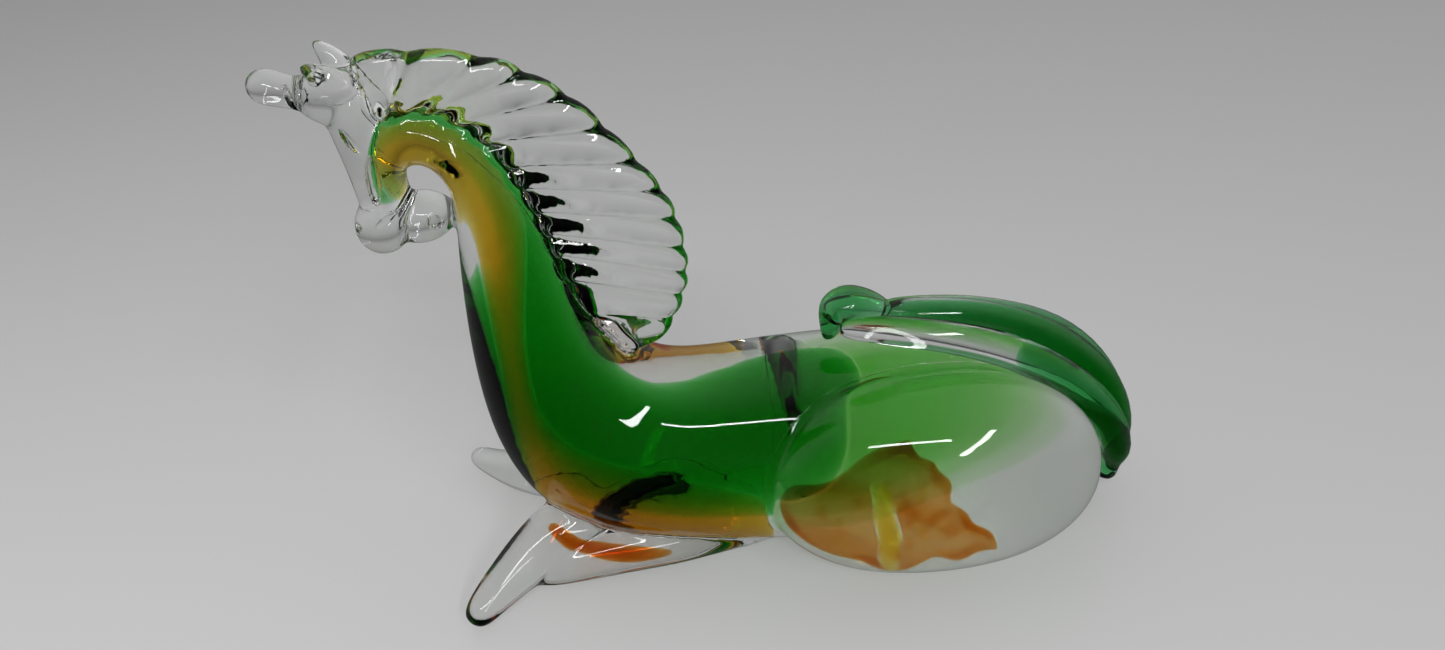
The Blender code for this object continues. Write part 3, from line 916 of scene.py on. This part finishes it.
# ---- stage -------------------------------------------------------------------------------
CAMERA_PLACE = (-8.0, -219.8, 203.0)
CAMERA_PITCH, CAMERA_ROLL = 32.855, 5.319  # degrees down, and clockwise
CAMERA_LENS = 27.405


FLOOR_HALF, FLOOR_DROP = 2.0, 0.0001  # metres
FLOOR_TONE = (0.62, 0.65)
# The surroundings' brightness: dim in front, brighter behind, and dimmer below the horizon.
FRONT_Y, FRONT_LIGHT = (-0.7, 0.1), (0.05, 0.36)
BELOW_Z, BELOW_SHARE = (-0.15, 0.1), 0.3
TUBE_DISTANCE, TUBE_WIDTH, TUBE_RADIANCE = 2.0, 0.09, 22.0
BOUNCES, TRANSPARENT_BOUNCES = 32, 64


def add_camera():
    data = bpy.data.cameras.new("camera")
    data.sensor_width = 36.0
    data.lens = CAMERA_LENS
    data.clip_start = 0.01
    camera = bpy.data.objects.new("camera", data)
    bpy.context.scene.collection.objects.link(camera)
    turn = Matrix.Rotation(math.radians(90 - CAMERA_PITCH), 4, "X")
    roll = Matrix.Rotation(math.radians(-CAMERA_ROLL), 4, "Z")
    camera.matrix_world = Matrix.Translation(place(*CAMERA_PLACE)) @ turn @ roll
    bpy.context.scene.camera = camera


def add_floor():
    bm = bmesh.new()
    bmesh.ops.create_grid(bm, x_segments=1, y_segments=1, size=FLOOR_HALF)
    floor = new_object("floor", bm)
    floor.location.z = FLOOR - FLOOR_DROP
    material, shader = principled("floor_paint")
    nodes, links = material.node_tree.nodes, material.node_tree.links
    noise = nodes.new("ShaderNodeTexNoise")
    noise.inputs["Scale"].default_value = 12.0
    ramp = nodes.new("ShaderNodeMapRange")
    ramp.inputs["To Min"].default_value, ramp.inputs["To Max"].default_value = FLOOR_TONE
    links.new(noise.outputs["Fac"], ramp.inputs["Value"])
    mix = nodes.new("ShaderNodeCombineColor")
    for socket in ("Red", "Green", "Blue"):
        links.new(ramp.outputs["Result"], mix.inputs[socket])
    links.new(mix.outputs["Color"], shader.inputs["Base Color"])
    shader.inputs["Roughness"].default_value = 0.45
    paint(floor, material)
    floor.visible_glossy = False  # the shelf ends just in front of the horse, so glass mirrors none


def add_world():
    world = bpy.data.worlds.new("studio")
    bpy.context.scene.world = world
    world.use_nodes = True
    nodes, links = world.node_tree.nodes, world.node_tree.links
    background = nodes["Background"]
    coordinates = nodes.new("ShaderNodeTexCoord")
    split = nodes.new("ShaderNodeSeparateXYZ")
    links.new(coordinates.outputs["Generated"], split.inputs["Vector"])
    front = nodes.new("ShaderNodeMapRange")
    front.interpolation_type = "SMOOTHSTEP"
    front.inputs["From Min"].default_value, front.inputs["From Max"].default_value = FRONT_Y
    front.inputs["To Min"].default_value, front.inputs["To Max"].default_value = FRONT_LIGHT
    links.new(split.outputs["Y"], front.inputs["Value"])
    below = nodes.new("ShaderNodeMapRange")
    below.inputs["From Min"].default_value, below.inputs["From Max"].default_value = BELOW_Z
    below.inputs["To Min"].default_value = BELOW_SHARE
    links.new(split.outputs["Z"], below.inputs["Value"])
    light = nodes.new("ShaderNodeMath")
    light.operation = "MULTIPLY"
    links.new(front.outputs["Result"], light.inputs[0])
    links.new(below.outputs["Result"], light.inputs[1])
    links.new(light.outputs["Value"], background.inputs["Color"])
    background.inputs["Strength"].default_value = 1.0


def add_light(name, where, aim, size, power):
    data = bpy.data.lights.new(name, "AREA")
    data.shape = "RECTANGLE"
    data.size, data.size_y = size
    data.energy = power
    light = bpy.data.objects.new(name, data)
    light.location = where
    direction = Vector(aim) - Vector(where)
    light.rotation_euler = direction.to_track_quat("-Z", "Y").to_euler()
    bpy.context.scene.collection.objects.link(light)
    return light


def add_tube(name, start, end):
    """A thin line lamp between two directions, seen as a fine bright line in the glass."""
    start, end = Vector(start) * TUBE_DISTANCE, Vector(end) * TUBE_DISTANCE
    middle = (start + end) / 2
    along = (end - start).normalized()
    facing = (-middle - along * (-middle).dot(along)).normalized()
    across = along.cross(facing)
    length = (end - start).length
    power = TUBE_RADIANCE * math.pi * length * TUBE_WIDTH
    light = add_light(name, middle, (0, 0, 0), (length, TUBE_WIDTH), power)
    turn = Matrix((along, -across, -facing)).transposed()
    light.matrix_world = Matrix.Translation(middle) @ turn.to_4x4()


def add_stage():
    add_camera()
    add_floor()
    add_world()
    # Room light for the floor only: the glass sees the dim surroundings and the line lamps.
    room = add_light("room", (-0.33, -0.52, 0.6), (-0.05, -0.16, 0), (0.5, 0.5), 4.0)
    room.data.use_shadow = False
    room.visible_glossy = False
    room.visible_transmission = False
    add_tube("tube_a", (-0.304, -0.637, 0.708), (0.226, -0.708, 0.670))
    add_tube("tube_b", (0.265, -0.887, 0.378), (0.471, -0.513, 0.718))
    scene = bpy.context.scene
    scene.view_settings.view_transform = "Standard"
    scene.cycles.max_bounces = BOUNCES
    scene.cycles.transmission_bounces = BOUNCES
    scene.cycles.transparent_max_bounces = TRANSPARENT_BOUNCES


clear_body()
colour_cores()
tail()
add_stage()
